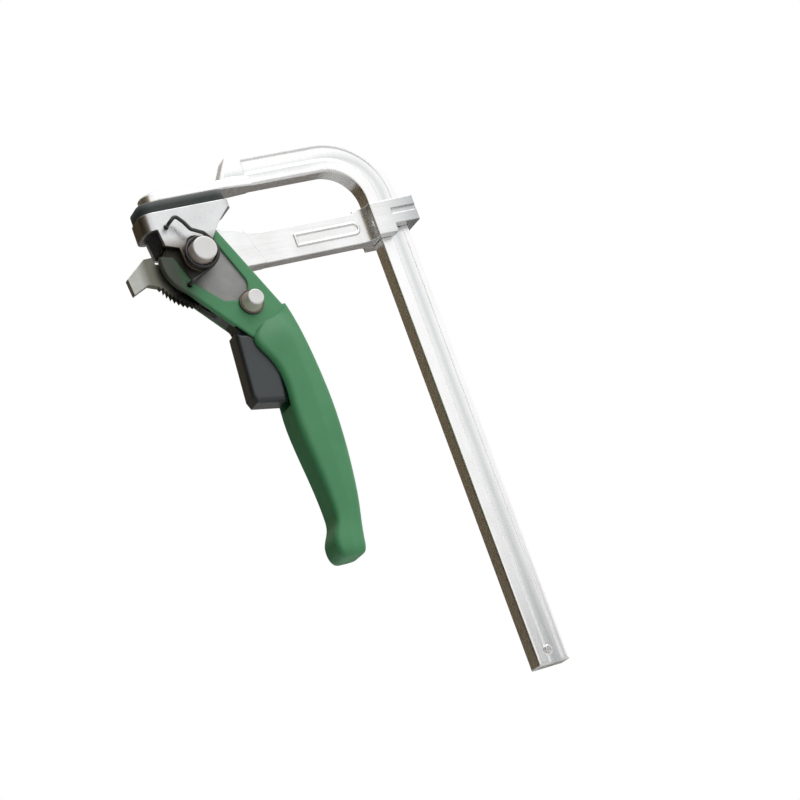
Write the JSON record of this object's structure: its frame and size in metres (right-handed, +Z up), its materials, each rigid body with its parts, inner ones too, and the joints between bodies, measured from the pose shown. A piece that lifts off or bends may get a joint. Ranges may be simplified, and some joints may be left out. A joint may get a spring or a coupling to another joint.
{
  "type": "quick release bar clamp",
  "caption": "Lever clamp on a bent steel rail: a sliding arm carries a cam lever with ratchet and trigger, which drives a padded shoe against the fixed jaw.",
  "frame": {"origin": "on the clamp axis, in the fixed jaw's clamping face, with the clamp closed", "axes": "+Z up along the rail towards the bend, +X from the clamp axis towards the rail, +Y from the pin heads' side to the back"},
  "size_m": [0.1257, 0.0268, 0.2301],
  "materials": {
    "bright_plate": "bright plated, lightly brushed",
    "shoe_plate": "bright plated pressed sheet",
    "ratchet_steel": "plain plated",
    "cheek_steel": "satin",
    "pin_steel": "polished",
    "clip_steel": "dark, oiled",
    "pawl_steel": "blackened",
    "spring_steel": "dark, oiled",
    "green_moulding": "satin with a fine grain",
    "black_moulding": "satin",
    "pad_rubber": "matt"
  },
  "bodies": {
    "rail": {"rail_bar": "bright_plate", "rail_stop_pin": "bright_plate"},
    "arm": {"sliding_arm": "bright_plate", "ratchet_sector": "ratchet_steel", "sector_rivets": "ratchet_steel"},
    "lever": {"lever_handle": "green_moulding", "lever_plate_front": "cheek_steel", "lever_plate_rear": "cheek_steel", "plate_spacer": "cheek_steel", "spacer_rivets": "cheek_steel", "pivot_pin": "pin_steel", "pivot_washer": "pin_steel", "pivot_clip": "clip_steel", "lever_spring": "spring_steel", "trigger_pin": "pin_steel", "trigger_pin_washer": "pin_steel", "trigger_pin_clip": "clip_steel"},
    "trigger": {"trigger": "black_moulding", "pawl": "pawl_steel", "pawl_pin": "pin_steel", "trigger_spring": "spring_steel"},
    "shoe": {"pressure_shoe": "shoe_plate", "pressure_pad": "pad_rubber", "pad_studs": "pin_steel"}
  },
  "joints": [
    {"name": "arm_slide", "type": "slide", "parent": "rail", "child": "arm", "axis": [0, 0, -1], "range_m": [0, 0.175]},
    {"name": "lever_pivot", "type": "hinge", "parent": "arm", "child": "lever", "pos_m": [0, 0, -0.0262], "axis": [0, 1, 0], "range_deg": [0, 45], "deforming": ["lever_spring"]},
    {"name": "shoe_slide", "type": "slide", "parent": "arm", "child": "shoe", "axis": [0, 0, -1], "range_m": [0, 0.0044]},
    {"name": "trigger_pivot", "type": "hinge", "parent": "lever", "child": "trigger", "pos_m": [0.01486, 0, -0.04874], "axis": [0, -1, 0], "range_deg": [0, 8], "stiffness_Nm_per_rad": 0.5, "springref_deg": -5.73, "deforming": ["trigger_spring"]}
  ],
  "couplings": [
    {"joint": "shoe_slide", "follows": "lever_pivot", "m_per_rad": 0.0055}
  ]
}
